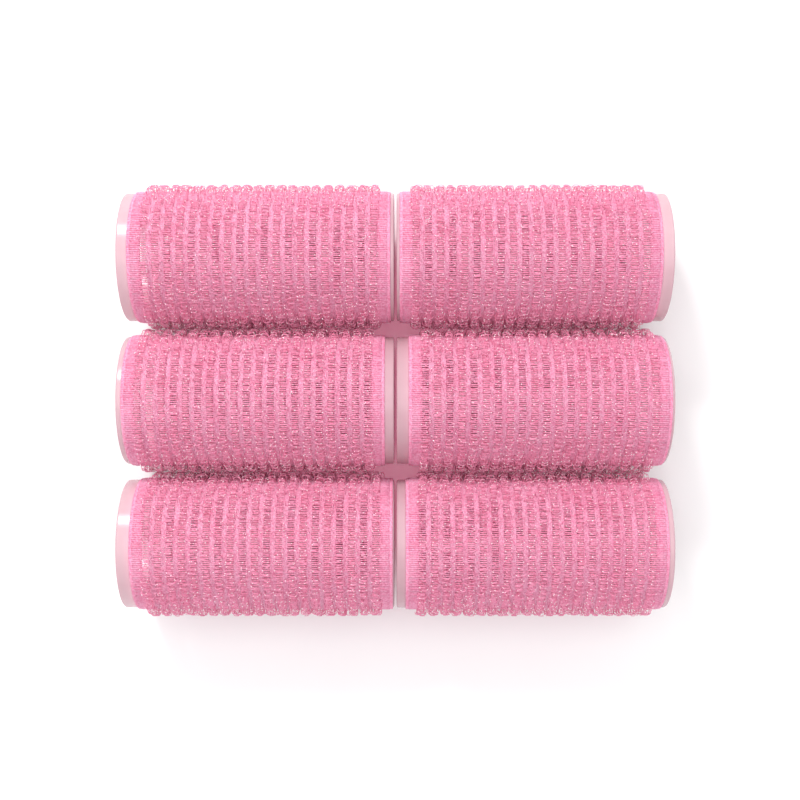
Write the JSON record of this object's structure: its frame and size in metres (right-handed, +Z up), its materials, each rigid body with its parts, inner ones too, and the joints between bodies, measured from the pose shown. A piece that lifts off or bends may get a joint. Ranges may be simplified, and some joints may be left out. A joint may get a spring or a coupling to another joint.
{
  "type": "hair roller set",
  "caption": "Self-grip hair rollers lying in rows: open grid tubes with a woven sleeve whose small hooks hold the hair without pins.",
  "frame": {"origin": "on the surface that the set lies on, under the middle of the set", "axes": "+X along the rollers, +Y from the front row to the rear row, +Z up"},
  "size_m": [0.1276, 0.1024, 0.034],
  "materials": {
    "core": "clear moulded polypropylene, slightly milky",
    "woven_sleeve": "pink woven nylon with open strips and plain selvedges",
    "hooks": "clear nylon monofilament hooks"
  },
  "bodies": {
    "rear_left": {"rear_left_core": "core", "rear_left_woven_sleeve": "woven_sleeve", "rear_left_hooks": "hooks"},
    "rear_right": {"rear_right_core": "core", "rear_right_woven_sleeve": "woven_sleeve", "rear_right_hooks": "hooks"},
    "middle_left": {"middle_left_core": "core", "middle_left_woven_sleeve": "woven_sleeve", "middle_left_hooks": "hooks"},
    "middle_right": {"middle_right_core": "core", "middle_right_woven_sleeve": "woven_sleeve", "middle_right_hooks": "hooks"},
    "front_left": {"front_left_core": "core", "front_left_woven_sleeve": "woven_sleeve", "front_left_hooks": "hooks"},
    "front_right": {"front_right_core": "core", "front_right_woven_sleeve": "woven_sleeve", "front_right_hooks": "hooks"}
  },
  "joints": [
    {"name": "lift_rear_left", "type": "slide", "parent": "middle_right", "child": "rear_left", "axis": [0, 0, 1], "range_m": [0, 0.06]},
    {"name": "lift_rear_right", "type": "slide", "parent": "middle_right", "child": "rear_right", "axis": [0, 0, 1], "range_m": [0, 0.06]},
    {"name": "lift_middle_left", "type": "slide", "parent": "middle_right", "child": "middle_left", "axis": [0, 0, 1], "range_m": [0, 0.06]},
    {"name": "lift_front_left", "type": "slide", "parent": "middle_right", "child": "front_left", "axis": [0, 0, 1], "range_m": [0, 0.06]},
    {"name": "lift_front_right", "type": "slide", "parent": "middle_right", "child": "front_right", "axis": [0, 0, 1], "range_m": [0, 0.06]}
  ]
}
